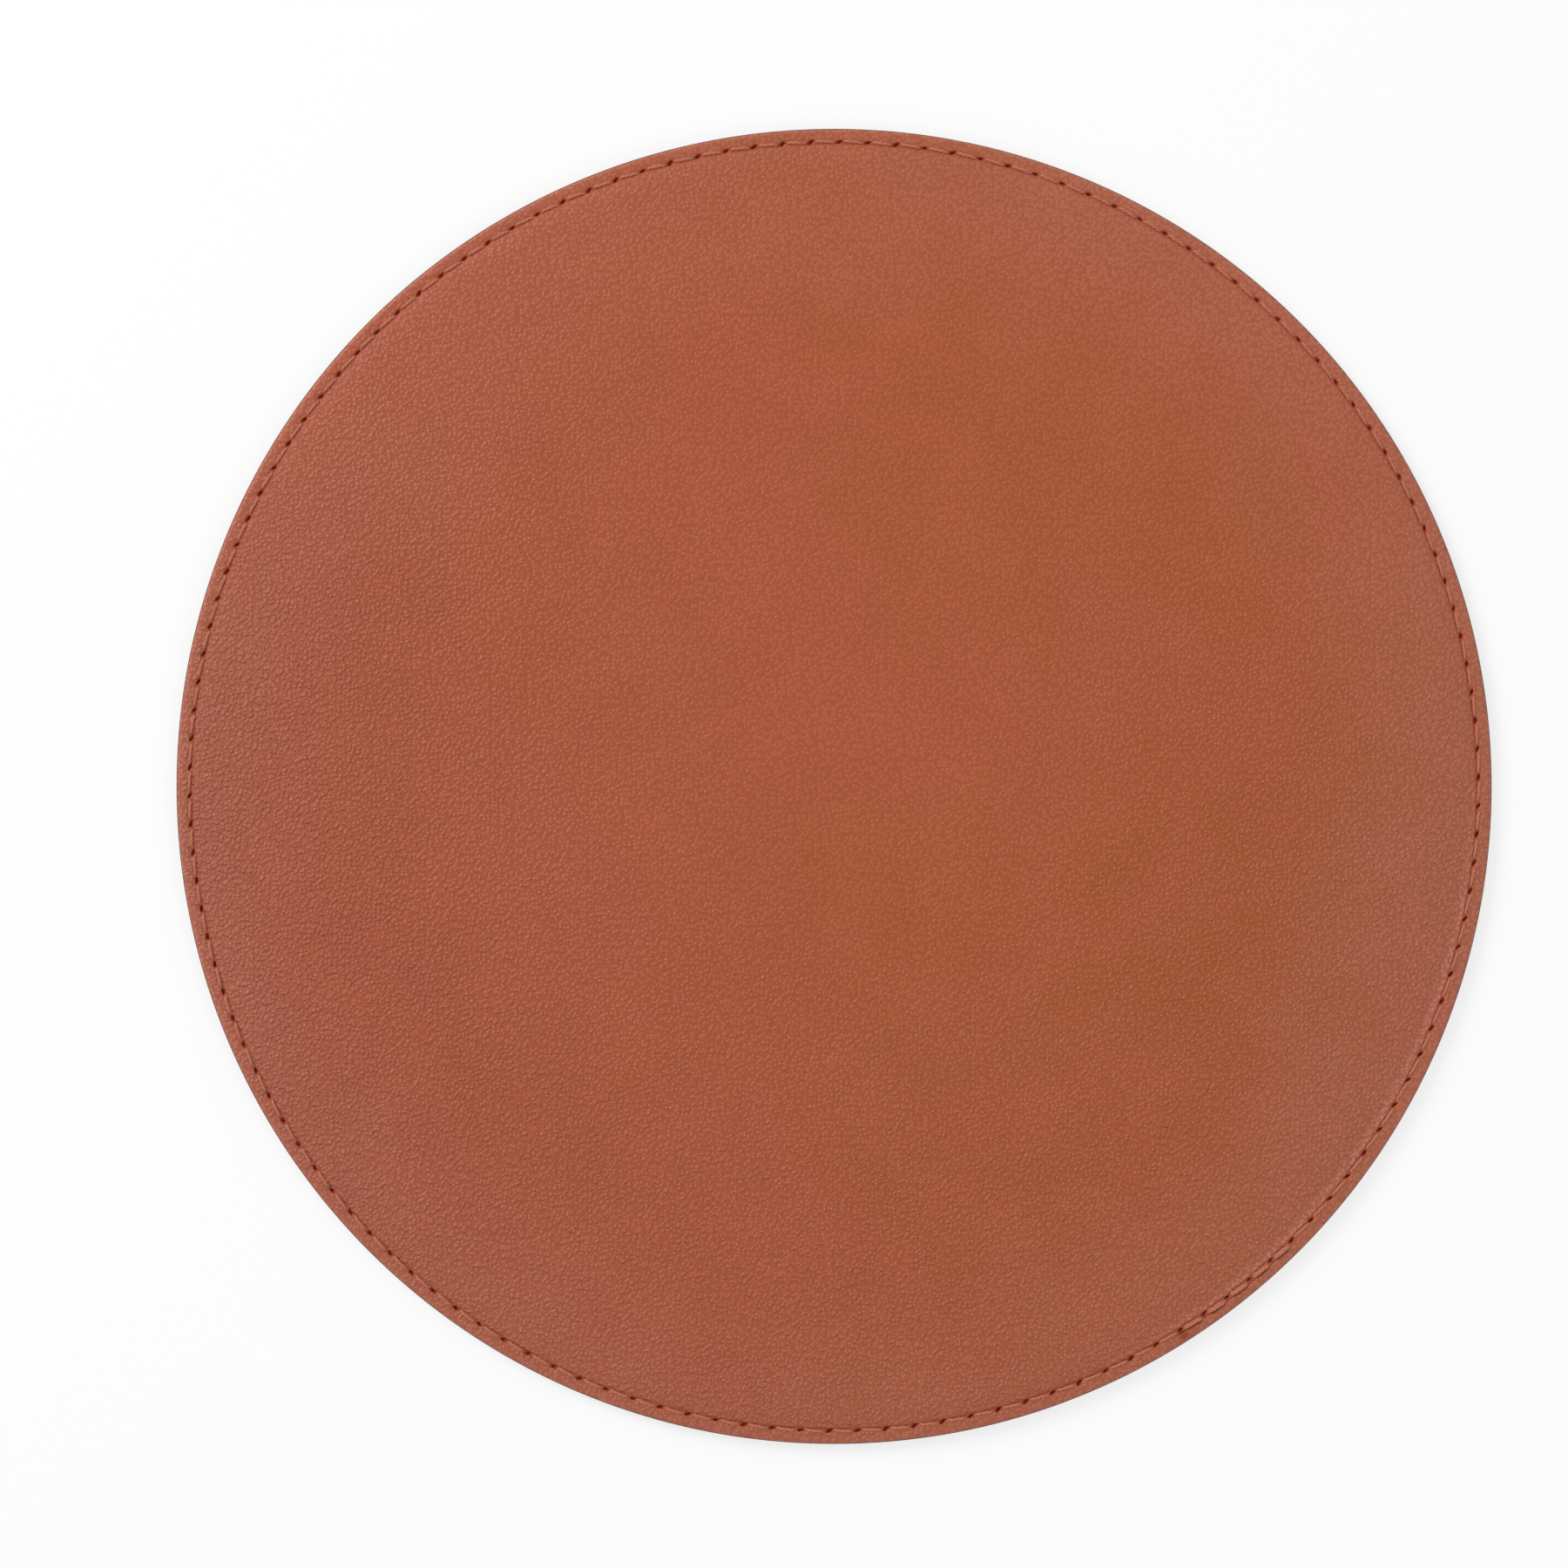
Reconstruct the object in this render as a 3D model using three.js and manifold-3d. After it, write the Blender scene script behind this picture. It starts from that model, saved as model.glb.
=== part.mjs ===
// A round mouse pad: a leather top and a suede base, glued over a stiff core and sewn together round the rim.
// Millimetres, +Z up. The origin is the centre of the underside, which lies on the desk.

import * as THREE from "three";
import { mergeGeometries, mergeVertices } from "three/addons/utils/BufferGeometryUtils.js";
import Module from "manifold-3d";

// Driving dimensions of the layers, from the desk upwards
const PAD_DIAMETER = 200;
const BASE_COVER_THICKNESS = 0.9;
const ADHESIVE_THICKNESS = 0.05;
const CORE_THICKNESS = 0.6;
const TOP_COVER_THICKNESS = 0.9;

// The rim and the core's edge
const RIM_ROUNDING = 0.4;
const BASE_EDGE_CHAMFER = 0.25;
const CORE_SETBACK = 1.3;
const CORE_SKIVE_WIDTH = 0.9;
const CORE_CLEARANCE = 0.3;
const SHOULDER_WIDTH = 1.3;
const ADHESIVE_SETBACK = 0.3;

// The seam
const SEAM_MARGIN = 2.1;
const SEAM_GROOVE_DEPTH = 0.2;
const STITCH_LENGTH = 4.33;
const SEAM_START_DEGREES = -57.5;
const STITCH_SLANT_DEGREES = 45;
const NEEDLE_THREAD_DIAMETER = 0.5;
const BOBBIN_THREAD_DIAMETER = 0.4;
const LOCKED_THREAD_DIAMETER = 0.3;
const LOCK_CLEARANCE = 0.08;
const HOLE_CLEARANCE = 0.05;
const THREAD_LIFT = 0.03;

// Fineness of the faceted solids
const RIM_FACETS = 72;
const SHOULDER_STEPS = 3;
const RIM_STEPS = 2;
const NEEDLE_THREAD_SIDES = 4;
const BOBBIN_THREAD_SIDES = 3;
const MERGE_TOLERANCE = 1e-4;

// Heights of the layers
const baseTop = BASE_COVER_THICKNESS;
const coreBottom = baseTop + ADHESIVE_THICKNESS;
const coreTop = coreBottom + CORE_THICKNESS;
const fieldUnderside = coreTop + ADHESIVE_THICKNESS;
const fieldTop = fieldUnderside + TOP_COVER_THICKNESS;
const borderUnderside = baseTop + ADHESIVE_THICKNESS;
const borderTop = borderUnderside + TOP_COVER_THICKNESS;
const grooveFloor = borderTop - SEAM_GROOVE_DEPTH;

// The seam line, its needle holes and the channel that the threads lie in
const padRadius = PAD_DIAMETER / 2;
const seamRadius = padRadius - SEAM_MARGIN;
const stitchCount = Math.round((2 * Math.PI * seamRadius) / STITCH_LENGTH);
const slant = THREE.MathUtils.degToRad(STITCH_SLANT_DEGREES);
const loopHalfWidth = LOCKED_THREAD_DIAMETER + LOCK_CLEARANCE;
const loopReach = loopHalfWidth * Math.max(Math.cos(slant), Math.sin(slant));
const thickestThread = Math.max(NEEDLE_THREAD_DIAMETER, BOBBIN_THREAD_DIAMETER);
const holeSide = 2 * (loopReach + thickestThread / 2 + HOLE_CLEARANCE);
const facetSag = padRadius * (1 - Math.cos(Math.PI / RIM_FACETS));
const channelHalfWidth = holeSide / 2 + HOLE_CLEARANCE + facetSag;
const channelInner = seamRadius - channelHalfWidth;
const channelOuter = seamRadius + channelHalfWidth;
const bobbinChannelDepth = BOBBIN_THREAD_DIAMETER + 2 * THREAD_LIFT;
const lockHeight = (baseTop + borderUnderside) / 2;

// The core, which stops inside the seam, and the hollow that it fills under the top cover
const coreRadius = seamRadius - CORE_SETBACK;
const coreTopRadius = coreRadius - CORE_SKIVE_WIDTH;
const hollowFootRadius = coreRadius + CORE_CLEARANCE;
const hollowTopRadius = coreTopRadius + CORE_CLEARANCE;

const wasm = await Module();
wasm.setup();

// A closed solid from a geometry, with shared corners merged and flat slivers dropped.
function solidFrom(geometry) {
  const bare = new THREE.BufferGeometry();
  bare.setAttribute("position", geometry.getAttribute("position"));
  bare.setIndex(geometry.getIndex());
  const merged = mergeVertices(bare, MERGE_TOLERANCE);
  const corners = merged.getIndex().array;
  const kept = [];
  for (let i = 0; i < corners.length; i += 3) {
    const [a, b, c] = corners.slice(i, i + 3);
    if (a !== b && b !== c && c !== a) {
      kept.push(a, b, c);
    }
  }
  const vertProperties = new Float32Array(merged.getAttribute("position").array);
  const triVerts = new Uint32Array(kept);
  return new wasm.Manifold(new wasm.Mesh({ numProp: 3, vertProperties, triVerts }));
}

function geometryFrom(solid) {
  const mesh = solid.getMesh();
  const geometry = new THREE.BufferGeometry();
  geometry.setAttribute("position", new THREE.BufferAttribute(new Float32Array(mesh.vertProperties), 3));
  geometry.setIndex(new THREE.BufferAttribute(new Uint32Array(mesh.triVerts), 1));
  geometry.computeVertexNormals();
  return geometry;
}

// A round piece from its half section: radius and height, going outwards below and back inwards above.
function turned(profile) {
  const points = profile.map(([radius, height]) => new THREE.Vector2(radius, height));
  return new THREE.LatheGeometry(points, RIM_FACETS).rotateX(Math.PI / 2);
}

function disc(radius, bottom, top) {
  return turned([[0, bottom], [radius, bottom], [radius, top], [0, top]]);
}

// A quarter round in the half section, from its upright side to its level top.
function quarterRound(centreRadius, centreHeight, width, height, steps) {
  const points = [];
  for (let step = 0; step <= steps; step += 1) {
    const angle = ((step / steps) * Math.PI) / 2;
    points.push([centreRadius + width * Math.cos(angle), centreHeight + height * Math.sin(angle)]);
  }
  return points;
}

// The place of one needle hole: its centre on the seam, and the directions along the seam and outwards.
function holeFrame(number) {
  const angle = THREE.MathUtils.degToRad(SEAM_START_DEGREES) - (number / stitchCount) * 2 * Math.PI;
  const outward = new THREE.Vector3(Math.cos(angle), Math.sin(angle), 0);
  const along = new THREE.Vector3(Math.sin(angle), -Math.cos(angle), 0);
  const centre = outward.clone().multiplyScalar(seamRadius);
  return { angle, outward, along, centre };
}

// Square needle holes through a cover, one at each end of every stitch.
function pierced(cover) {
  const depth = fieldTop + HOLE_CLEARANCE;
  const holes = [];
  for (let number = 0; number < stitchCount; number += 1) {
    const { angle, centre } = holeFrame(number);
    const needle = new THREE.BoxGeometry(holeSide, holeSide, 2 * depth);
    holes.push(needle.rotateZ(angle).translate(centre.x, centre.y, 0));
  }
  return geometryFrom(solidFrom(cover).subtract(solidFrom(mergeGeometries(holes))));
}

// The stops of one thread of the lockstitch. In each hole it turns off its run, reaches past the middle of
// the seam by the given overshoot to hook the other thread, and comes back out. The loops of the two threads
// stand in planes at a right angle to each other. The seam starts and finishes in the same hole.
function lockstitch(runHeight, runDiameter, overshoot, loopAngle) {
  const turnHeight = lockHeight + overshoot;
  const route = [];
  for (let number = 0; number <= stitchCount; number += 1) {
    const { outward, along, centre } = holeFrame(number);
    const reach = along.multiplyScalar(loopHalfWidth * Math.cos(loopAngle));
    reach.addScaledVector(outward, loopHalfWidth * Math.sin(loopAngle));
    const arriving = centre.clone().sub(reach);
    const leaving = centre.clone().add(reach);
    if (number > 0) {
      route.push({ point: arriving.clone().setZ(runHeight), radius: runDiameter / 2 });
      route.push({ point: arriving.clone().setZ(turnHeight), radius: LOCKED_THREAD_DIAMETER / 2 });
    }
    if (number < stitchCount) {
      route.push({ point: leaving.clone().setZ(turnHeight), radius: LOCKED_THREAD_DIAMETER / 2 });
      route.push({ point: leaving.clone().setZ(runHeight), radius: runDiameter / 2 });
    }
  }
  return route;
}

// A thread along its stops, with straight runs between mitred corners and a flat cut at each end.
function threadAlong(route, sides) {
  const last = route.length - 1;
  const heading = (from) => route[from + 1].point.clone().sub(route[from].point).normalize();
  const side = heading(1);
  const up = heading(0).cross(side);
  let spokes = [];
  for (let number = 0; number < sides; number += 1) {
    const angle = ((number + 0.5) / sides) * 2 * Math.PI;
    spokes.push(side.clone().multiplyScalar(Math.cos(angle)).addScaledVector(up, Math.sin(angle)));
  }
  const positions = [];
  const faces = [];
  route.forEach(({ point, radius }, stop) => {
    const arriving = heading(Math.max(stop - 1, 0));
    const leaving = heading(Math.min(stop, last - 1));
    const mitre = arriving.clone().add(leaving).normalize();
    spokes = spokes.map((spoke) =>
      spoke.clone().addScaledVector(arriving, -spoke.dot(mitre) / arriving.dot(mitre)));
    spokes.forEach((spoke) => positions.push(...point.clone().addScaledVector(spoke, radius).toArray()));
    for (let number = 0; stop > 0 && number < sides; number += 1) {
      const next = (number + 1) % sides;
      const ring = stop * sides;
      const before = ring - sides;
      faces.push(before + number, before + next, ring + next);
      faces.push(before + number, ring + next, ring + number);
    }
  });
  for (let number = 1; number < sides - 1; number += 1) {
    faces.push(0, number + 1, number);
    faces.push(last * sides, last * sides + number, last * sides + number + 1);
  }
  const geometry = new THREE.BufferGeometry();
  geometry.setAttribute("position", new THREE.Float32BufferAttribute(positions, 3));
  geometry.setIndex(faces);
  geometry.computeVertexNormals();
  return geometry;
}

function piece(name, geometry, look) {
  const mesh = new THREE.Mesh(geometry, new THREE.MeshStandardMaterial({ metalness: 0, ...look }));
  mesh.name = name;
  return mesh;
}

// Underside sheet of suede, with a channel that takes the lower thread so that the pad lies flat.
function baseCover() {
  return pierced(turned([
    [0, 0],
    [channelInner, 0],
    [channelInner, bobbinChannelDepth],
    [channelOuter, bobbinChannelDepth],
    [channelOuter, 0],
    [padRadius - BASE_EDGE_CHAMFER, 0],
    [padRadius, BASE_EDGE_CHAMFER],
    [padRadius, baseTop],
    [0, baseTop],
  ]));
}

// Leather sheet: flat over the core, down a rounded shoulder to the seam, then out to a rounded rim.
function topCover() {
  const shoulderCentre = channelInner - SHOULDER_WIDTH;
  const shoulderHeight = fieldTop - grooveFloor;
  const rimCentre = padRadius - RIM_ROUNDING;
  return pierced(turned([
    [0, fieldUnderside],
    [hollowTopRadius, fieldUnderside],
    [hollowFootRadius, borderUnderside],
    [padRadius, borderUnderside],
    ...quarterRound(rimCentre, borderTop - RIM_ROUNDING, RIM_ROUNDING, RIM_ROUNDING, RIM_STEPS),
    [channelOuter + SEAM_GROOVE_DEPTH, borderTop],
    [channelOuter, grooveFloor],
    ...quarterRound(shoulderCentre, grooveFloor, SHOULDER_WIDTH, shoulderHeight, SHOULDER_STEPS),
    [0, fieldTop],
  ]));
}

// Stiffener board, pared thin at its rim where the leather comes down to the seam.
function coreBoard() {
  return turned([[0, coreBottom], [coreRadius, coreBottom], [coreTopRadius, coreTop], [0, coreTop]]);
}

// Narrow ring of glue between the two covers, from the seam to just short of the rim.
function borderAdhesive() {
  const inner = channelOuter;
  const outer = padRadius - ADHESIVE_SETBACK;
  return turned([
    [inner, baseTop],
    [outer, baseTop],
    [outer, borderUnderside],
    [inner, borderUnderside],
    [inner, baseTop],
  ]);
}

function needleThread() {
  const runHeight = grooveFloor + THREAD_LIFT + NEEDLE_THREAD_DIAMETER / 2;
  const route = lockstitch(runHeight, NEEDLE_THREAD_DIAMETER, -loopHalfWidth / 2, slant);
  return threadAlong(route, NEEDLE_THREAD_SIDES);
}

function bobbinThread() {
  const runHeight = THREAD_LIFT + BOBBIN_THREAD_DIAMETER / 2;
  const crossing = slant - Math.PI / 2;
  const route = lockstitch(runHeight, BOBBIN_THREAD_DIAMETER, loopHalfWidth / 2, crossing);
  return threadAlong(route, BOBBIN_THREAD_SIDES);
}

const leather = { color: 0xa55a40, roughness: 0.55 };
const suede = { color: 0x5d3a2c, roughness: 0.95 };
const board = { color: 0xa98b68, roughness: 0.9 };
const glue = { color: 0xd9cfae, roughness: 0.4 };
const needleYarn = { color: 0xb3684a, roughness: 0.7 };
const bobbinYarn = { color: 0x8a4f38, roughness: 0.7 };

const pad = new THREE.Group();
pad.add(
  piece("base_cover", baseCover(), suede),
  piece("base_adhesive", disc(coreRadius, baseTop, coreBottom), glue),
  piece("core_board", coreBoard(), board),
  piece("top_adhesive", disc(coreTopRadius, coreTop, fieldUnderside), glue),
  piece("border_adhesive", borderAdhesive(), glue),
  piece("top_cover", topCover(), leather),
  piece("needle_thread", needleThread(), needleYarn),
  piece("bobbin_thread", bobbinThread(), bobbinYarn),
);

export default pad;
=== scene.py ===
import math

import bpy
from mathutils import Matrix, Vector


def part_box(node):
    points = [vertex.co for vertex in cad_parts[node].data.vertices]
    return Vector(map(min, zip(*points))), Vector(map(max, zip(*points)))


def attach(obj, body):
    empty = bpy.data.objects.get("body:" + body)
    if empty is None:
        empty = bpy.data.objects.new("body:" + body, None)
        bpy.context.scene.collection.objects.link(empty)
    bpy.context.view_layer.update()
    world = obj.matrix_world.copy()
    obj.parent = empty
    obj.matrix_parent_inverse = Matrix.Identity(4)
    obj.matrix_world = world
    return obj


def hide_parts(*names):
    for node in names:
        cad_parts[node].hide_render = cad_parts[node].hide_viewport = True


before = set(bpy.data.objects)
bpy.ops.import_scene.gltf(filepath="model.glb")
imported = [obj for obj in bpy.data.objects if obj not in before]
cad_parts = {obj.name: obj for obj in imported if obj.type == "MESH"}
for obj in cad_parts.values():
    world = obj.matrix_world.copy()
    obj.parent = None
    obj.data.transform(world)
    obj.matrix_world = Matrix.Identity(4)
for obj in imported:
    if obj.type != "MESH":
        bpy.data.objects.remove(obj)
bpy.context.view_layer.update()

# Base cover
# The underside is a disc of short-napped brown suede cloth, cut flush with the rim of the pad. The seam is
# sewn right through it, and a shallow channel takes the lower thread, so that the pad lies flat on the desk.
rim_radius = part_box("base_cover")[1].x
base_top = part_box("base_cover")[1].z
seam_margin = 0.0021
seam_radius = rim_radius - seam_margin
stitches_round = 142
doubled_stitches = 5
last_hole = math.radians(-57.5)
first_hole = last_hole + doubled_stitches * math.tau / stitches_round
suede_edge_rounding = 0.00025
edge_facets = 5
channel_half_width = 0.0008
channel_depth = 0.00042
channel_steepness = 1.5
nap_depth = 0.00012
hole_floor = 0.2
doubling_fade = 0.5
weld_distance = 2e-7
sharp_angle = math.radians(55)


class Measure:
    """A number that a node tree works out at each point. Arithmetic on it adds Math nodes to the tree."""

    def __init__(self, tree, socket):
        self.tree = tree
        self.socket = socket

    def reckon(self, operation, *others):
        node = self.tree.nodes.new("ShaderNodeMath")
        node.operation = operation
        for socket, term in zip(node.inputs, (self, *others)):
            plug(self.tree, term, socket)
        return Measure(self.tree, node.outputs[0])

    def __add__(self, other):
        return self.reckon("ADD", other)

    def __sub__(self, other):
        return self.reckon("SUBTRACT", other)

    def __mul__(self, other):
        return self.reckon("MULTIPLY", other)

    def __truediv__(self, other):
        return self.reckon("DIVIDE", other)

    def squared(self):
        return self.reckon("MULTIPLY", self)

    def bell(self, width):
        """One where the measure is nought, falling away over the width on both sides."""
        return ((self / width).squared() * -1).reckon("EXPONENT")

    def eased(self, start, end, first=0.0, last=1.0):
        """First up to start and last from end on, with a smooth step between them."""
        node = self.tree.nodes.new("ShaderNodeMapRange")
        node.interpolation_type = "SMOOTHSTEP"
        names = ("Value", "From Min", "From Max", "To Min", "To Max")
        for name, value in zip(names, (self, start, end, first, last)):
            plug(self.tree, value, node.inputs[name])
        return Measure(self.tree, node.outputs["Result"])


def plug(tree, value, socket):
    """Sets a socket to a number, or links another node's result to it."""
    if isinstance(value, Measure):
        tree.links.new(value.socket, socket)
    elif isinstance(value, bpy.types.NodeSocket):
        tree.links.new(value, socket)
    else:
        socket.default_value = value


def place(tree, kind, inputs=(), **settings):
    """Adds a node with its settings and its inputs, named as its sockets are."""
    node = tree.nodes.new(kind)
    for name, value in settings.items():
        setattr(node, name, value)
    for name, value in dict(inputs).items():
        plug(tree, value, node.inputs[name])
    return node


def parts_of(tree, vector):
    """The three measures of a vector."""
    split = place(tree, "ShaderNodeSeparateXYZ", {"Vector": vector})
    return [Measure(tree, part) for part in split.outputs]


def vector_of(tree, x, y, z):
    return place(tree, "ShaderNodeCombineXYZ", {"X": x, "Y": y, "Z": z}).outputs[0]


def turned(tree, radius, angle, height):
    """The point at this radius, angle round the axis and height."""
    return vector_of(tree, radius * angle.reckon("COSINE"), radius * angle.reckon("SINE"), height)


def store(tree, geometry, name, value, kind="FLOAT"):
    """Keeps a value at each point of the geometry under this name."""
    inputs = {"Geometry": geometry, "Name": name, "Value": value}
    return place(tree, "GeometryNodeStoreNamedAttribute", inputs, data_type=kind, domain="POINT").outputs[0]


def by_chance(tree, number, seed):
    """A value from minus a half to a half that belongs to the number."""
    node = place(tree, "FunctionNodeRandomValue", {"ID": number, "Seed": seed}, data_type="FLOAT")
    return Measure(tree, node.outputs[1]) - 0.5


def begin_tree(name, sizes):
    """A Geometry Nodes tree with a named input for each size, and the measures that those inputs give."""
    tree = bpy.data.node_groups.new(name, "GeometryNodeTree")
    tree.interface.new_socket("Geometry", in_out="OUTPUT", socket_type="NodeSocketGeometry")
    tree.interface.new_socket("Start", in_out="INPUT", socket_type="NodeSocketGeometry")
    tree.interface.new_socket("Material", in_out="INPUT", socket_type="NodeSocketMaterial")
    for size, value in sizes.items():
        kind = "NodeSocketInt" if isinstance(value, int) else "NodeSocketFloat"
        tree.interface.new_socket(size, in_out="INPUT", socket_type=kind)
    entry = tree.nodes.new("NodeGroupInput")
    return tree, {socket.name: Measure(tree, socket) for socket in entry.outputs if socket.name}


def end_tree(tree, given, made):
    """Realizes what the tree has made and gives it its material."""
    realized = place(tree, "GeometryNodeRealizeInstances", {"Geometry": made}).outputs[0]
    dressed = place(tree, "GeometryNodeSetMaterial", {"Geometry": realized, "Material": given["Material"]})
    tree.links.new(dressed.outputs[0], tree.nodes.new("NodeGroupOutput").inputs[0])
    return tree


def make_piece(name, tree, start, material, sizes):
    """Runs the tree on the start mesh with these sizes, and leaves a plain mesh object."""
    holder = bpy.data.objects.new(name + "_start", start)
    bpy.context.scene.collection.objects.link(holder)
    modifier = holder.modifiers.new("made", "NODES")
    modifier.node_group = tree
    values = {**sizes, "Material": material}
    for socket in tree.interface.items_tree:
        if socket.in_out == "INPUT" and socket.name in values:
            modifier[socket.identifier] = values[socket.name]
    graph = bpy.context.evaluated_depsgraph_get()
    evaluated = holder.evaluated_get(graph)
    mesh = bpy.data.meshes.new_from_object(evaluated, preserve_all_data_layers=True, depsgraph=graph)
    bpy.data.objects.remove(holder)
    mesh.name = name
    mesh.shade_smooth()
    mesh.set_sharp_from_angle(angle=sharp_angle)
    piece = bpy.data.objects.new(name, mesh)
    bpy.context.scene.collection.objects.link(piece)
    return piece


def half_section(name, points):
    """The line of a sheet's half section, from the axis along its underside to the rim and back over its
    upper side. Each point has its radius, its height and how far the seam draws it in."""
    mesh = bpy.data.meshes.new(name)
    edges = [(number, number + 1) for number in range(len(points) - 1)]
    mesh.from_pydata([(radius, 0, height) for radius, height, _ in points], edges, [])
    gives = [give for _, _, give in points]
    mesh.attributes.new("give", "FLOAT", "POINT").data.foreach_set("value", gives)
    return mesh


def span(start, end, count):
    """Count values from start up to, but not at, the end."""
    return [start + (end - start) * step / count for step in range(count)]


def rounded_edge(rim, height, rounding, give):
    """The points of a quarter round from the face at this height to the rim. The rounding is below nought
    on an underside."""
    turns = span(0.0, math.pi / 2, edge_facets) + [math.pi / 2]
    return [(rim - abs(rounding) * (1 - math.sin(turn)), height - rounding * (1 - math.cos(turn)), give)
            for turn in turns]


disc_sizes = {
    "Stitches": stitches_round,
    "Doubled": doubled_stitches,
    "Samples": 12,
    "Crowding": 0.7,
    "Seam radius": seam_radius,
    "First hole": first_hole,
    "Hole length": 0.00118,
    "Hole width": 0.00054,
    "Hole slant": math.radians(42),
    "Cut place": math.radians(135),
    "Slant spread": 0.5,
    "Hole depth": 0.00055,
    "Size spread": 0.3,
    "Outer crease": 0.0005,
    "Outer crease width": 0.00013,
    "Outer crease depth": 0.00022,
    "Pucker depth": 0.00012,
    "Pucker width": 0.0008,
    "Seed": 7,
}


def sewn_disc_tree():
    """Turns a half section round the axis. It sinks a needle hole and a pucker into it at every stitch, and
    a crease along the outer side of the stitches that are sewn twice. The needle cuts every hole in nearly
    the same direction, so a cut lies along the seam at the cut place and slants against it on both sides."""
    tree, given = begin_tree("sewn_disc", disc_sizes)
    section = given["Start"]
    count = place(tree, "GeometryNodeAttributeDomainSize", {"Geometry": section}).outputs["Point Count"]
    columns = given["Stitches"] * given["Samples"] + 1
    grid = place(tree, "GeometryNodeMeshGrid",
                 {"Size X": 1.0, "Size Y": 1.0, "Vertices X": count, "Vertices Y": columns}).outputs["Mesh"]
    position = tree.nodes.new("GeometryNodeInputPosition").outputs[0]
    grid_x, grid_y = parts_of(tree, position)[:2]
    row = (grid_x + 0.5) * (Measure(tree, count) - 1)
    index = place(tree, "FunctionNodeFloatToInt", {"Float": row}, rounding_mode="ROUND").outputs[0]

    def drawn(value, kind):
        """The value that the half section has at this row."""
        inputs = {"Geometry": section, "Value": value, "Index": index}
        return place(tree, "GeometryNodeSampleIndex", inputs, data_type=kind).outputs[0]

    radius, _, height = parts_of(tree, drawn(position, "FLOAT_VECTOR"))
    kept = place(tree, "GeometryNodeInputNamedAttribute", {"Name": "give"}, data_type="FLOAT").outputs[0]
    give = Measure(tree, drawn(kept, "FLOAT"))

    # The columns crowd together at the holes, where the shape is finest.
    even = (grid_y + 0.5) * given["Stitches"]
    stitch = even - (even * math.tau).reckon("SINE") * given["Crowding"] / math.tau
    nearest = stitch.reckon("ROUND")
    chance = by_chance(tree, nearest.reckon("MODULO", given["Stitches"]), given["Seed"])
    along = (stitch - nearest) * given["Seam radius"] / given["Stitches"] * math.tau
    outward = radius - given["Seam radius"]
    angle = given["First hole"] - stitch * math.tau / given["Stitches"]

    lean = (given["Cut place"] - angle) * 2
    leaning = lean.reckon("SINE") * (lean.reckon("COSINE") + 1) / 2
    slant = given["Hole slant"] * leaning + chance * given["Slant spread"]
    lengthwise = along * slant.reckon("COSINE") + outward * slant.reckon("SINE")
    crosswise = outward * slant.reckon("COSINE") - along * slant.reckon("SINE")
    swell = (chance * given["Size spread"] + 1) / 2
    lengthwise_share = lengthwise / given["Hole length"] / swell
    crosswise_share = crosswise / given["Hole width"] / swell
    reach = lengthwise_share.squared() + crosswise_share.squared()
    hole = give * reach.eased(hole_floor, 1.0, first=1.0, last=0.0)

    gathered = ((stitch * math.tau).reckon("COSINE") + 1) / 2
    pucker = give * gathered * outward.bell(given["Pucker width"])
    doubling_end = given["Doubled"] + doubling_fade
    doubled = stitch.eased(0.0, doubling_fade)
    doubled = doubled * stitch.eased(given["Doubled"], doubling_end, first=1.0, last=0.0)
    crease = give * doubled * (outward - given["Outer crease"]).bell(given["Outer crease width"])
    sunk = height - hole * given["Hole depth"] - pucker * given["Pucker depth"]
    sunk = sunk - crease * given["Outer crease depth"]

    marked = store(tree, store(tree, grid, "hole", hole), "face", give)
    shaped = place(tree, "GeometryNodeSetPosition",
                   {"Geometry": marked, "Position": turned(tree, radius, angle, sunk)}).outputs[0]
    welded = place(tree, "GeometryNodeMergeByDistance", {"Geometry": shaped, "Distance": weld_distance})
    return end_tree(tree, given, welded.outputs[0])


def paint(code):
    """The linear colour of a six-digit sRGB code."""
    shares = [int(code[digit:digit + 2], 16) / 255 for digit in (0, 2, 4)]
    linear = [share / 12.92 if share <= 0.04045 else ((share + 0.055) / 1.055) ** 2.4 for share in shares]
    return linear + [1.0]


def begin_finish(name, **constants):
    """A material with its shader, whose constant sockets are set here, and the object's own coordinates."""
    material = bpy.data.materials.new(name)
    material.use_nodes = True
    tree = material.node_tree
    shader = tree.nodes["Principled BSDF"]
    for socket, value in constants.items():
        shader.inputs[socket.replace("_", " ")].default_value = value
    return material, tree, shader, tree.nodes.new("ShaderNodeTexCoord").outputs["Object"]


def noise(tree, where, scale, detail=2.0, roughness=0.5, distortion=0.0):
    """A measure that drifts round a half, with about this many swells to the metre."""
    inputs = {
        "Vector": where,
        "Scale": scale,
        "Detail": detail,
        "Roughness": roughness,
        "Distortion": distortion,
    }
    return Measure(tree, place(tree, "ShaderNodeTexNoise", inputs).outputs["Fac"])


def blend(tree, share, first, second):
    """A colour between the first and the second. A Mix node takes its colours at its sockets 6 and 7, and
    gives the result at its socket 2."""
    node = place(tree, "ShaderNodeMix", data_type="RGBA")
    for socket, value in ((0, share), (6, first), (7, second)):
        plug(tree, value, node.inputs[socket])
    return node.outputs[2]


def mark(tree, name):
    """The value that the mesh carries at each point under this name."""
    return Measure(tree, place(tree, "ShaderNodeAttribute", attribute_name=name).outputs["Fac"])


def end_finish(tree, shader, colour, relief, depth):
    """Gives the shader its colour and its relief."""
    tree.links.new(colour, shader.inputs["Base Color"])
    bump = place(tree, "ShaderNodeBump", {"Height": relief, "Distance": depth})
    tree.links.new(bump.outputs[0], shader.inputs["Normal"])


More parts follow.
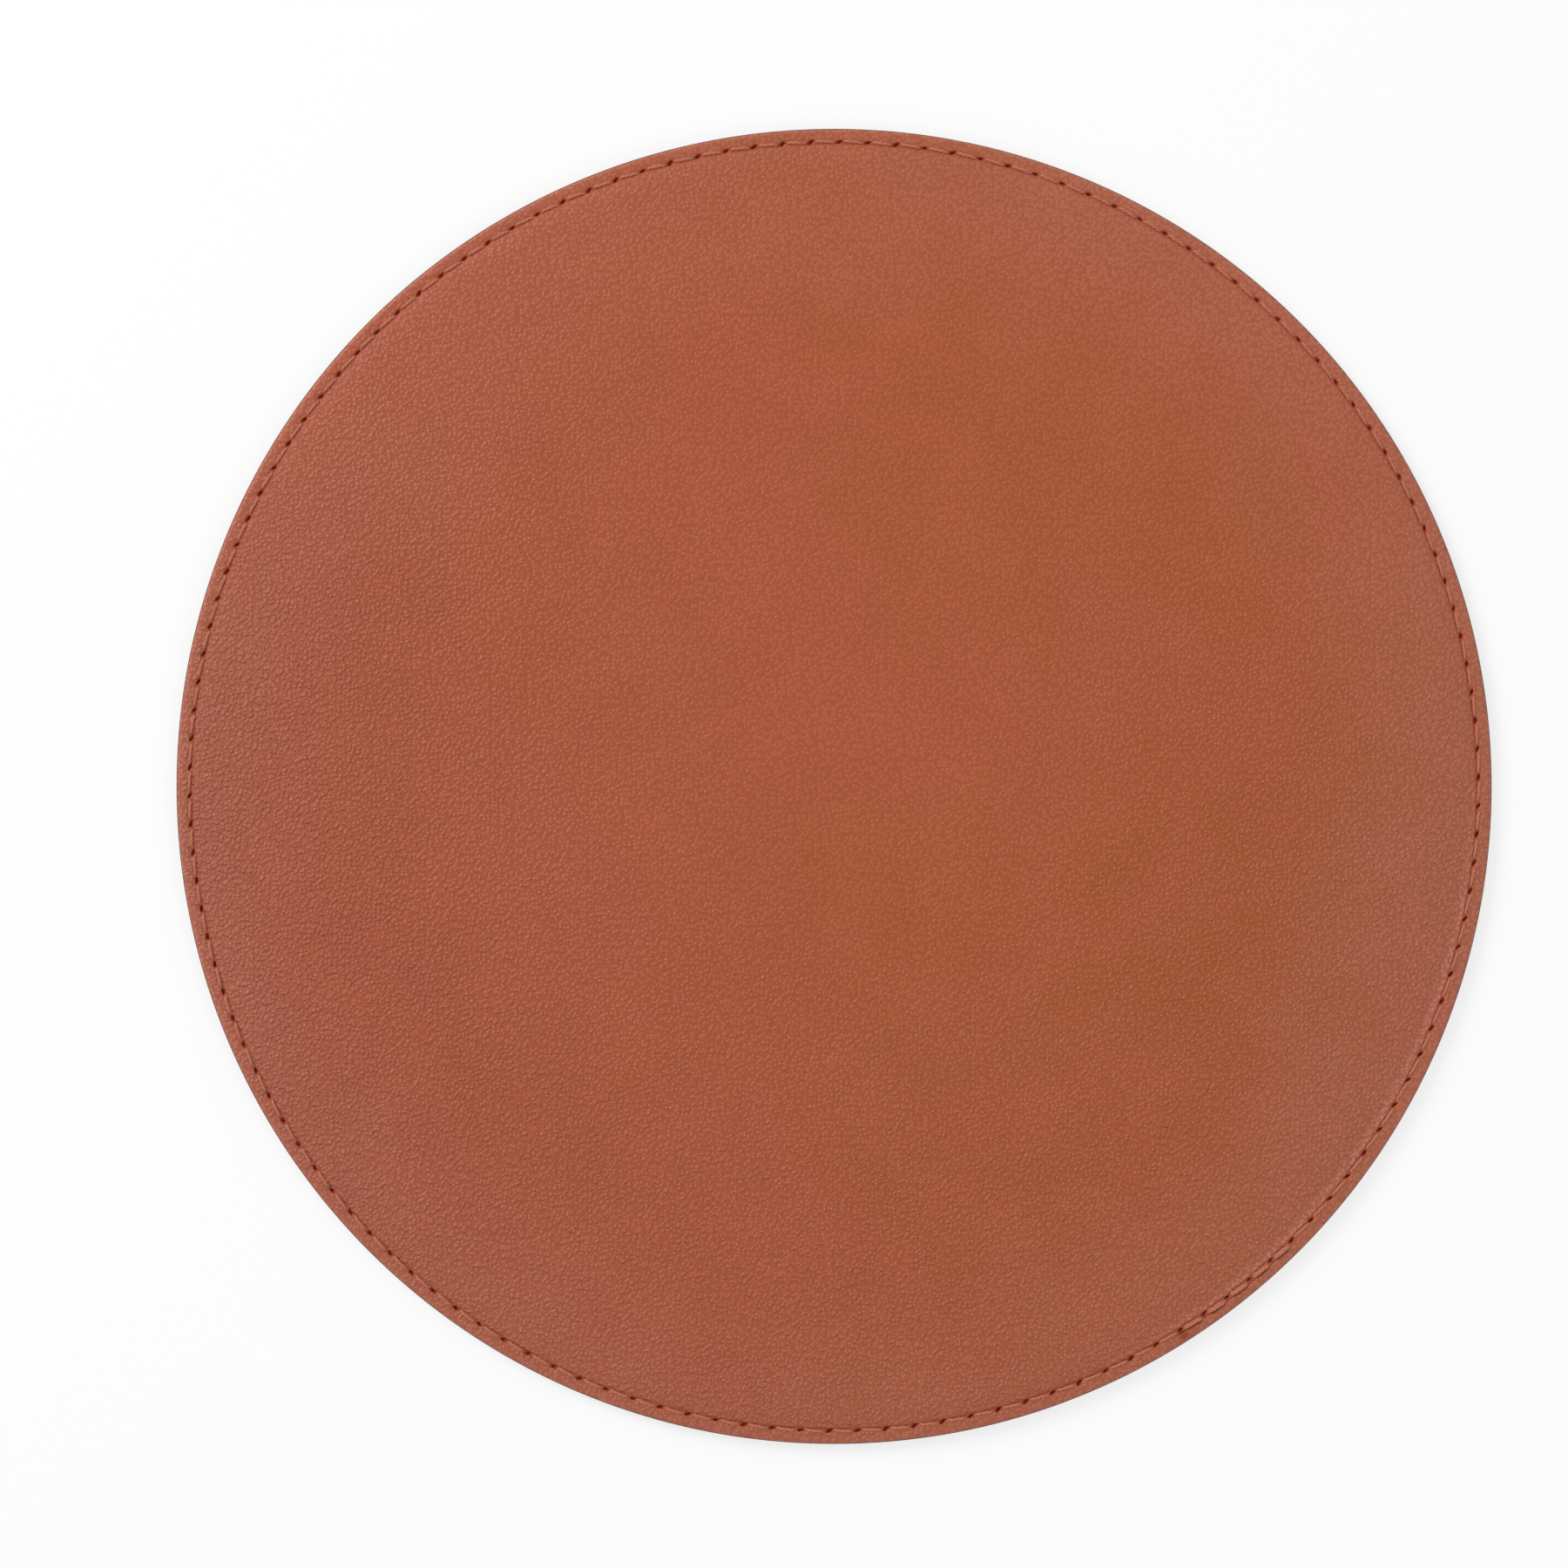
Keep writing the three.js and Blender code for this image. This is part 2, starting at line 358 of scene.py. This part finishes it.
def suede_finish():
    """Brown cloth with a brushed nap, with painted shade in the needle holes."""
    material, tree, shader, where = begin_finish("brown_suede", Roughness=0.95, Sheen_Weight=0.25,
                                                 Sheen_Roughness=0.5, Specular_IOR_Level=0.15)
    brushed = noise(tree, where, scale=60.0, detail=3.0)
    nap = noise(tree, where, scale=2600.0, detail=3.0, roughness=0.7)
    colour = blend(tree, brushed.eased(0.35, 0.65), paint("523226"), paint("66412f"))
    colour = blend(tree, nap.eased(0.35, 0.7), colour, paint("7a5140"))
    # Painted shade in the needle holes.
    colour = blend(tree, mark(tree, "hole").eased(0.1, 0.7), colour, paint("1c0f0a"))
    end_finish(tree, shader, colour, relief=nap, depth=nap_depth)
    return material


def channel_height(radius):
    """How far the underside is raised over the lower thread."""
    share = min(abs(radius - seam_radius) / channel_half_width, 1.0)
    return channel_depth * math.cos(share * math.pi / 2) ** channel_steepness


channel_inner = seam_radius - channel_half_width
channel_outer = seam_radius + channel_half_width
base_rings = span(0.0, channel_inner, count=5) + span(channel_inner, channel_outer, count=15)
base_points = [(radius, channel_height(radius), 1.0) for radius in base_rings]
base_points.append((channel_outer, 0.0, 1.0))
base_points += rounded_edge(rim_radius, 0.0, -suede_edge_rounding, give=0.0)
base_points += [(rim_radius, base_top, 0.0), (seam_radius, base_top, 0.0), (0.0, base_top, 0.0)]

sewn_disc = sewn_disc_tree()
suede_sizes = {**disc_sizes, "Hole depth": -0.0003, "Pucker depth": -0.00008, "Outer crease depth": 0.0}
base_section = half_section("base_half_section", base_points)
suede_base = make_piece("suede_base", sewn_disc, base_section, suede_finish(), suede_sizes)
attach(suede_base, "root")
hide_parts("base_cover")

# Core board and glue films
# The stiffener is a disc of tan fibre board with a thinned edge. It is glued between the two covers, and a
# narrow ring of the same cream glue joins the covers outside the seam.
fibre_depth = 0.00004
brush_mark_depth = 0.00003


def board_finish():
    """Tan board with matted fibres."""
    material, tree, shader, where = begin_finish("fibre_board", Roughness=0.9, Specular_IOR_Level=0.2)
    fibre = noise(tree, where, scale=900.0, detail=4.0, roughness=0.6, distortion=1.0)
    colour = blend(tree, fibre.eased(0.3, 0.7), paint("94785a"), paint("b59772"))
    end_finish(tree, shader, colour, relief=fibre, depth=fibre_depth)
    return material


def glue_finish():
    """Cream glue with brush marks."""
    material, tree, shader, where = begin_finish("cream_glue", Roughness=0.5, Specular_IOR_Level=0.4)
    brushed = noise(tree, where, scale=300.0, detail=3.0)
    colour = blend(tree, brushed.eased(0.3, 0.7), paint("c9bd97"), paint("ded5b6"))
    end_finish(tree, shader, colour, relief=brushed, depth=brush_mark_depth)
    return material


def dress(node, finish):
    """Gives a carried-over solid its finish."""
    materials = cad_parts[node].data.materials
    materials.clear()
    materials.append(finish)


dress("core_board", board_finish())
cream_glue = glue_finish()
for film in ("base_adhesive", "top_adhesive", "border_adhesive"):
    dress(film, cream_glue)

# Top cover
# The working face is a disc of terracotta leather-look sheet, a pebbled skin on a cloth backing. It lies
# flat over the core and rolls down a soft shoulder to the seam, with painted sheen near the rim and a
# painted highlight on its lip at the lower right. Its border is glued to the base, cut just inside its rim
# and scorched brown where the thread's end was melted.
field_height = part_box("top_cover")[1].z
border_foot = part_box("top_cover")[0].z
core_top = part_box("top_adhesive")[1].z
core_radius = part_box("top_adhesive")[1].x
sheet_thickness = 0.0009
border_height = border_foot + sheet_thickness
rim_setback = 0.00018
leather_rim = rim_radius - rim_setback
rim_rounding = 0.0005
skin_depth = 0.00008
fall_start = 0.070
edge_fall = 0.00045
shoulder_start = seam_radius - 0.0036
shoulder_end = seam_radius - 0.0004
seam_inner = seam_radius - 0.0009
seam_outer = seam_radius + 0.0007
crease_offset = -0.00028
crease_width = 0.00014
crease_depth = 0.00011
bed_width = 0.0004
bed_depth = 0.00004
hollow_foot = seam_radius - 0.001
hollow_top = core_radius + 0.0003

grain_scale = 1500.0
grain_drift = 0.0004
dome_share = 0.6
wrinkle_scale = 1950.0
wrinkle_share = 0.5
pore_scale = 5000.0
pore_share = 0.06
grain_depth = 0.00034
grain_full_radius = 0.08
left_margin = -0.09
left_third = -0.03
right_third = 0.06
near_margin = -0.09
near_third = -0.03
far_margin = 0.085
upper_left = (-1.0, 1.0)
upper_left_start = 0.07
upper_left_end = 0.105

# Painted sheen: a pale ring near the rim, weaker toward the upper left and the near edge.
sheen_start = 0.068
sheen_end = 0.101
sheen_drift = 0.045
sheen_fray = 0.01
weak_sheen_side = (-0.5, 0.85)
weak_sheen_start = 0.05
weak_sheen_end = 0.095
# Painted highlight along the lip of the shoulder at the lower right.
lip_highlight_side = (0.85, -0.52)
lip_highlight_start = 0.078
lip_highlight_end = 0.094
lip_start = seam_radius - 0.0022
lip_crest = seam_radius - 0.0005
lip_end = seam_radius - 0.0002
scorch_radius = seam_radius + 0.0008
scorch_heart = 0.0004
scorch_reach = 0.0013

terracotta = paint("ac5735")
tan = paint("a65629")
# Painted sheen: a rosier tone for the left of the pad, where the key lamp's sheen falls.
left_sheen_tint = paint("ab5641")
warm_fleck = paint("b35d3c")
# Painted sheen colour for the pale ring near the rim.
painted_sheen_haze = paint("b2705f")
# Painted highlight colour for the lip.
painted_lip_highlight = paint("d38574")
pale_border_tone = paint("b57c6c")
grain_dye_and_shade = paint("883c20")
crease_painted_shade = paint("92361a")
cloth_backing = paint("8c5a42")
hole_core_and_shade = paint("a63408")
scorched = paint("8a4014")


def skin_height(radius):
    """The height of the leather's face: its field, its shoulder, the thread's bed and the crease by it."""
    outward = radius - seam_radius
    drop = min(max((radius - shoulder_start) / (shoulder_end - shoulder_start), 0.0), 1.0)
    shoulder = (field_height - edge_fall - border_height) * drop ** 2
    slope = max(0.0, (min(radius, shoulder_end) - fall_start) / (shoulder_end - fall_start))
    crease = crease_depth * math.exp(-((outward - crease_offset) / crease_width) ** 2)
    bed = bed_depth * math.exp(-(outward / bed_width) ** 2)
    return field_height - edge_fall * slope ** 2 - shoulder - crease - bed


def reckoned(tree, operation, inputs):
    """The vector that this operation makes of its inputs."""
    return place(tree, "ShaderNodeVectorMath", inputs, operation=operation).outputs[0]


def leather_grain(tree, where):
    """The height of the embossed grain: small domes of uneven height in drifting cells, with fine wrinkles
    and pores."""
    swirl = place(tree, "ShaderNodeTexNoise", {"Vector": where, "Scale": grain_scale, "Detail": 1.0})
    drift = reckoned(tree, "SUBTRACT", {0: swirl.outputs["Color"], 1: (0.5, 0.5, 0.5)})
    drift = reckoned(tree, "SCALE", {0: drift, "Scale": grain_drift})
    bent = reckoned(tree, "ADD", {0: where, 1: drift})
    cells = place(tree, "ShaderNodeTexVoronoi", {"Vector": bent, "Scale": grain_scale, "Smoothness": 0.45},
                  feature="SMOOTH_F1", voronoi_dimensions="2D")
    chance = parts_of(tree, cells.outputs["Color"])[0]
    dome = Measure(tree, cells.outputs["Distance"]).eased(0.0, 0.6, first=1.0, last=0.0)
    dome = dome * (chance * 0.5 + 0.5)
    wrinkle = noise(tree, where, scale=wrinkle_scale, detail=1.0, distortion=0.3)
    pore = noise(tree, where, scale=pore_scale, detail=1.0)
    return dome * dome_share + wrinkle * wrinkle_share + pore * pore_share


def plan_of(tree, where):
    """How far a point lies from the middle of the pad, to its right and toward its far side."""
    length = place(tree, "ShaderNodeVectorMath", {0: where}, operation="LENGTH").outputs["Value"]
    across, forward = parts_of(tree, where)[:2]
    return Measure(tree, length), across, forward


def toward(side, across, forward):
    """How far a point lies toward this side of the pad."""
    return across * side[0] + forward * side[1]


def dye_and_painted_sheen(tree, where, plan):
    """The skin's cloudy dye, with painted sheen that makes it rosier at the left and paler near the rim."""
    radius, across, forward = plan
    cloud = noise(tree, where, scale=18.0, detail=3.0, roughness=0.6)
    patch = noise(tree, where, scale=80.0, detail=4.0, roughness=0.6)
    colour = blend(tree, cloud.eased(0.35, 0.65), terracotta, tan)
    # Painted sheen: rosier toward the left.
    colour = blend(tree, across.eased(left_margin, right_third, first=0.6, last=0.0), colour, left_sheen_tint)
    colour = blend(tree, patch.eased(0.35, 0.7) * 0.45, colour, warm_fleck)
    # Painted sheen: paler near the rim, weaker toward the upper left and the near edge.
    sheen_ring = (radius + (cloud - 0.5) * sheen_drift + (patch - 0.5) * sheen_fray).eased(sheen_start, sheen_end)
    sheen_share = toward(weak_sheen_side, across, forward).eased(weak_sheen_start, weak_sheen_end, first=0.42, last=0.15)
    sheen_share = sheen_share * forward.eased(near_margin, near_third, first=0.7, last=1.0)
    return blend(tree, sheen_ring * sheen_share, colour, painted_sheen_haze)


def skin_marks_and_painted_light(tree, where, plan, grain, colour):
    """The skin with a painted highlight on its lip at the lower right and a border that grows paler toward
    the rim. It is darker in the grain's hollows, partly dye and partly painted shade, with painted shade in
    the crease and, over the cut core's own colour, in the holes. Its cut edge and its underside show the
    cloth, and the thread's melted end has scorched it."""
    radius, across, forward = plan
    # Painted highlight along the lip of the shoulder, at the lower right.
    lip_highlight_share = toward(lip_highlight_side, across, forward).eased(lip_highlight_start, lip_highlight_end, first=0.0, last=0.75)
    lip_highlight_share = lip_highlight_share * radius.eased(lip_start, lip_crest) * grain.eased(0.2, 0.6, first=0.5, last=1.0)
    lip_highlight_share = lip_highlight_share * radius.eased(shoulder_end, lip_end, first=1.0, last=0.0)
    colour = blend(tree, lip_highlight_share, colour, painted_lip_highlight)
    # The border grows paler toward the rim.
    border_paling = radius.eased(seam_radius, rim_radius, first=0.0, last=0.15)
    colour = blend(tree, border_paling, colour, pale_border_tone)
    # Darker in the grain's hollows: partly dye, partly painted shade.
    colour = blend(tree, grain.eased(0.25, 0.6, first=0.4, last=0.0), colour, grain_dye_and_shade)
    # Painted shade in the crease beside the thread.
    crease_shading = (radius - seam_radius - crease_offset).bell(crease_width * 2) * 0.45
    colour = blend(tree, crease_shading, colour, crease_painted_shade)
    colour = blend(tree, mark(tree, "face").eased(0.2, 0.8), cloth_backing, colour)
    # The holes take the cut core's darker colour, deepened with painted shade.
    colour = blend(tree, mark(tree, "hole").eased(0.05, 0.6), colour, hole_core_and_shade)
    spot = (scorch_radius * math.cos(last_hole), scorch_radius * math.sin(last_hole), border_height)
    reach = place(tree, "ShaderNodeVectorMath", {0: where, 1: spot}, operation="DISTANCE").outputs["Value"]
    browned = Measure(tree, reach).eased(scorch_heart, scorch_reach, first=0.7, last=0.0)
    return blend(tree, browned, colour, scorched)


def pressing(plan):
    """How deep the grain is pressed: deepest at the near left, shallow in the middle and at the far side."""
    radius, across, forward = plan
    pressed = radius.eased(0.0, grain_full_radius, first=0.4, last=0.9)
    pressed = pressed * forward.eased(near_third, far_margin, first=1.2, last=0.35)
    pressed = pressed * across.eased(left_margin, left_third, first=1.25, last=1.0)
    pressed = pressed * radius.eased(seam_radius, rim_radius, first=1.0, last=0.3)
    corner = toward(upper_left, across, forward)
    return pressed * corner.eased(upper_left_start, upper_left_end, first=1.0, last=1.35)


def leather_finish():
    """Terracotta skin that is a little glossier on top of its grain."""
    material, tree, shader, where = begin_finish("terracotta_leather", Specular_IOR_Level=0.3)
    plan = plan_of(tree, where)
    grain = leather_grain(tree, where)
    colour = skin_marks_and_painted_light(tree, where, plan, grain, dye_and_painted_sheen(tree, where, plan))
    plug(tree, grain.eased(0.25, 0.7, first=0.55, last=0.42), shader.inputs["Roughness"])
    end_finish(tree, shader, colour, relief=grain * pressing(plan), depth=grain_depth)
    return material


top_rings = span(0.0, fall_start, count=3) + span(fall_start, shoulder_start, count=6)
top_rings += span(shoulder_start, seam_inner, count=10) + span(seam_inner, seam_outer, count=20)
top_rings += span(seam_outer, leather_rim - rim_rounding, count=4)
face_points = [(radius, skin_height(radius), 1.0) for radius in top_rings]
face_points += rounded_edge(leather_rim, border_height, rim_rounding, give=1.0)
skin_foot = border_height - rim_rounding - skin_depth
top_points = [(0.0, core_top, 0.0), (hollow_top, core_top, 0.0), (hollow_foot, border_foot, 0.0)]
top_points += [(leather_rim, border_foot, 0.0), (leather_rim, skin_foot, 0.0)]
top_points += reversed(face_points)

top_section = half_section("top_half_section", top_points)
leather_top = make_piece("leather_top", sewn_disc, top_section, leather_finish(), disc_sizes)
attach(leather_top, "root")
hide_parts("top_cover")

# Needle and bobbin threads
# One lockstitched seam of twisted polyester runs all round and five stitches past its start, where both
# threads are cut and melted down. The upper thread leaves a hole on its outer side and enters the next on
# its inner side.
thread_sink = 0.00018
bead_narrowing = 0.75
plies = 3
twist_rate = 9000.0
yarn_depth = 0.00005
seam_sizes = {
    "Stitches": stitches_round,
    "Sewn": stitches_round + doubled_stitches,
    "Samples": 12,
    "Sides": 8,
    "Crowding": 0.6,
    "Seam radius": seam_radius,
    "First hole": first_hole,
    "Thread radius": 0.00024,
    "Run height": border_height - thread_sink,
    "Arch": 0.00006,
    "Dive": 0.0008,
    "Dive start": 0.0002,
    "Dive end": 0.0011,
    "Sway": 0.0001,
    "Beside": 0.00022,
    "Above": 0.00016,
    "Lap": 0.3,
    "Unevenness": 0.00004,
    "Bead offset": 0.0009,
    "Bead height": border_height,
    "Bead width": 0.0011,
    "Bead thickness": 0.00016,
    "Seed": 3,
}
bobbin_sizes = {
    **seam_sizes,
    "Thread radius": 0.0002,
    "Run height": 0.00023,
    "Arch": -0.00002,
    "Dive": -0.0004,
    "Sway": -0.00014,
    "Beside": -0.0002,
    "Above": 0.00004,
    "Unevenness": 0.00002,
    "Bead offset": 0.0005,
    "Bead height": 0.00017,
    "Bead width": 0.0006,
    "Bead thickness": 0.00014,
    "Seed": 5,
}


def melted_end(tree, given):
    """The flat bead that the cut end is melted down to, beside the last hole."""
    angle = given["First hole"] - given["Sewn"] * math.tau / given["Stitches"]
    ball = place(tree, "GeometryNodeMeshUVSphere", {"Segments": 16, "Rings": 8, "Radius": 0.5})
    spot = turned(tree, given["Seam radius"] + given["Bead offset"], angle, given["Bead height"])
    narrowed = given["Bead width"] * bead_narrowing
    size = vector_of(tree, narrowed, given["Bead width"], given["Bead thickness"])
    inputs = {
        "Geometry": store(tree, ball.outputs["Mesh"], "melted", 1.0),
        "Translation": spot,
        "Rotation": vector_of(tree, 0.0, 0.0, angle),
        "Scale": size,
    }
    return place(tree, "GeometryNodeTransform", inputs).outputs[0]


def lockstitch_tree():
    """Lays a thread along the seam. It arches from hole to hole, sways across the line and dives at each
    hole, and where it meets its own start it lies on and beside the first stitches."""
    tree, given = begin_tree("lockstitch", seam_sizes)
    line = tree.nodes.new("GeometryNodeCurvePrimitiveLine").outputs[0]
    steps = given["Sewn"] * given["Samples"] + 1
    line = place(tree, "GeometryNodeResampleCurve", {"Curve": line, "Count": steps}).outputs[0]
    even = Measure(tree, tree.nodes.new("GeometryNodeSplineParameter").outputs["Factor"]) * given["Sewn"]
    stitch = even - (even * math.tau).reckon("SINE") * given["Crowding"] / math.tau
    chance = by_chance(tree, stitch.reckon("FLOOR"), given["Seed"])
    pitch = given["Seam radius"] * math.tau / given["Stitches"]
    along = ((stitch - stitch.reckon("ROUND")) * pitch).reckon("ABSOLUTE")
    turn = stitch * math.tau
    arched = (turn.reckon("COSINE") * -1 + 1) / 2
    sway = (turn.reckon("SINE") + (turn * 2).reckon("SINE") / 2) * given["Sway"]
    second = stitch.eased(given["Stitches"], given["Stitches"] + given["Lap"])
    dip = along.eased(given["Dive start"], given["Dive end"], first=1.0, last=0.0)
    wander = chance * arched * given["Unevenness"] * 2
    radius = given["Seam radius"] + sway + second * given["Beside"] + wander
    rise = (given["Arch"] + chance * given["Unevenness"]) * arched + second * given["Above"]
    height = given["Run height"] + rise - dip * given["Dive"]
    angle = given["First hole"] - turn / given["Stitches"]

    measured = store(tree, line, "run", stitch * pitch)
    laid = place(tree, "GeometryNodeSetPosition",
                 {"Geometry": measured, "Position": turned(tree, radius, angle, height)}).outputs[0]
    ring = place(tree, "GeometryNodeCurvePrimitiveCircle",
                 {"Resolution": given["Sides"], "Radius": given["Thread radius"]}).outputs["Curve"]
    spot = tree.nodes.new("GeometryNodeInputPosition").outputs[0]
    ring = store(tree, ring, "ply", spot, kind="FLOAT_VECTOR")
    tube = place(tree, "GeometryNodeCurveToMesh", {"Curve": laid, "Profile Curve": ring, "Fill Caps": True})
    joined = tree.nodes.new("GeometryNodeJoinGeometry")
    tree.links.new(tube.outputs[0], joined.inputs[0])
    tree.links.new(melted_end(tree, given), joined.inputs[0])
    return end_tree(tree, given, joined.outputs[0])


def yarn_finish(name, shade, light):
    """Plies twisted round each other, with painted shade in the grooves between them and a painted highlight
    on their crests, darker flecks of fibre, and the brown of the melted end.
    """
    material, tree, shader, where = begin_finish(name, Roughness=0.6, Sheen_Weight=0.2, Sheen_Roughness=0.4,
                                                 Specular_IOR_Level=0.3)
    ply = place(tree, "ShaderNodeAttribute", attribute_name="ply").outputs["Vector"]
    side_x, side_y = parts_of(tree, ply)[:2]
    turn = side_y.reckon("ARCTAN2", side_x) * plies + mark(tree, "run") * twist_rate
    twist = turn.reckon("SINE") / 2 + 0.5
    fibre = noise(tree, where, scale=6000.0)
    # Painted shade and highlight: each ply is blended from a shaded to a lit tone as it twists.
    colour = blend(tree, twist, paint(shade), paint(light))
    colour = blend(tree, fibre.eased(0.4, 0.75, first=0.0, last=0.3), colour, paint(shade))
    colour = blend(tree, mark(tree, "melted"), colour, paint("8c4018"))
    end_finish(tree, shader, colour, relief=twist + fibre * 0.4, depth=yarn_depth)
    return material


lockstitch = lockstitch_tree()
# Each yarn gets a painted shade tone and a painted highlight tone.
needle_stitches = make_piece("needle_stitches", lockstitch, bpy.data.meshes.new("needle_start"),
                             yarn_finish("terracotta_yarn", "a95a3f", "c0785c"), seam_sizes)
bobbin_stitches = make_piece("bobbin_stitches", lockstitch, bpy.data.meshes.new("bobbin_start"),
                             yarn_finish("brown_yarn", "7d4531", "965a43"), bobbin_sizes)
for stitches, node, yarn in ((needle_stitches, "needle_thread", "needle_yarn"),
                             (bobbin_stitches, "bobbin_thread", "bobbin_yarn")):
    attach(stitches, "root")
    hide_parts(node)

# Floor, light and camera
# The pad lies on a plain white table in a light studio and is seen from straight above. A large soft lamp
# stands at the upper left, and a smaller and weaker one at the lower right.
floor_half = 8.0
floor_level = -0.00005
floor_glow = 0.7
wall_top = 0.8
ceiling_heart = 0.995


def floor_finish():
    """White paint that looks a little brighter to the camera than its light makes it, and keeps its
    shadows."""
    material, tree, shader = begin_finish("white_floor", Base_Color=paint("f4f4f4"), Roughness=0.9,
                                          Specular_IOR_Level=0.1)[:3]
    ray = tree.nodes.new("ShaderNodeLightPath").outputs
    seen = Measure(tree, ray["Is Camera Ray"])
    for kind in ("Is Glossy Ray", "Is Transmission Ray"):
        seen = seen.reckon("MAXIMUM", Measure(tree, ray[kind]))
    glow = tree.nodes.new("ShaderNodeEmission").outputs[0]
    mixed = place(tree, "ShaderNodeMixShader", {0: seen * floor_glow, 1: shader.outputs[0], 2: glow})
    tree.links.new(mixed.outputs[0], tree.nodes["Material Output"].inputs["Surface"])
    return material


corners = [(x * floor_half, y * floor_half) for x, y in ((-1, -1), (1, -1), (1, 1), (-1, 1))]
floor_mesh = bpy.data.meshes.new("white_floor")
floor_mesh.from_pydata([(x, y, floor_level) for x, y in corners], [], [(0, 1, 2, 3)])
floor_mesh.materials.append(floor_finish())
white_floor = bpy.data.objects.new("white_floor", floor_mesh)
bpy.context.scene.collection.objects.link(white_floor)


def studio_world(sides, zenith):
    """A white room that is brighter at its sides than overhead."""
    world = bpy.data.worlds.new("studio")
    world.use_nodes = True
    tree = world.node_tree
    upward = parts_of(tree, tree.nodes.new("ShaderNodeTexCoord").outputs["Generated"])[2]
    background = tree.nodes["Background"].inputs
    background["Color"].default_value = (1.0, 1.0, 1.0, 1.0)
    plug(tree, upward.eased(wall_top, ceiling_heart, first=sides, last=zenith), background["Strength"])
    return world


def softbox(name, spot, width, power):
    """A square lamp that faces the middle of the pad."""
    lamp = bpy.data.lights.new(name, "AREA")
    lamp.size = width
    lamp.energy = power
    holder = bpy.data.objects.new(name, lamp)
    holder.location = spot
    holder.rotation_euler = (-holder.location).to_track_quat("-Z", "Y").to_euler()
    bpy.context.scene.collection.objects.link(holder)


bpy.context.scene.world = studio_world(sides=0.76, zenith=0.11)
softbox("key_softbox", spot=(-0.92, 0.78, 0.75), width=0.6, power=13.3)
softbox("fill_softbox", spot=(0.55, -0.42, 0.42), width=0.3, power=0.8)

photo_side = 1800
pixels_per_metre = 7570.0
pad_centre_x = 957.67
pad_centre_y = 902.75
lens = 85.0
sensor = 36.0
nearest_seen = 0.01
frame_width = photo_side / pixels_per_metre
camera = bpy.data.objects.new("camera", bpy.data.cameras.new("camera"))
camera.data.lens = lens
camera.data.sensor_width = sensor
camera.data.clip_start = nearest_seen
camera.location = (
    (photo_side / 2 - pad_centre_x) / pixels_per_metre,
    (pad_centre_y - photo_side / 2) / pixels_per_metre,
    field_height + frame_width * lens / sensor,
)
bpy.context.scene.collection.objects.link(camera)
bpy.context.scene.camera = camera
bpy.context.scene.view_settings.view_transform = "Standard"
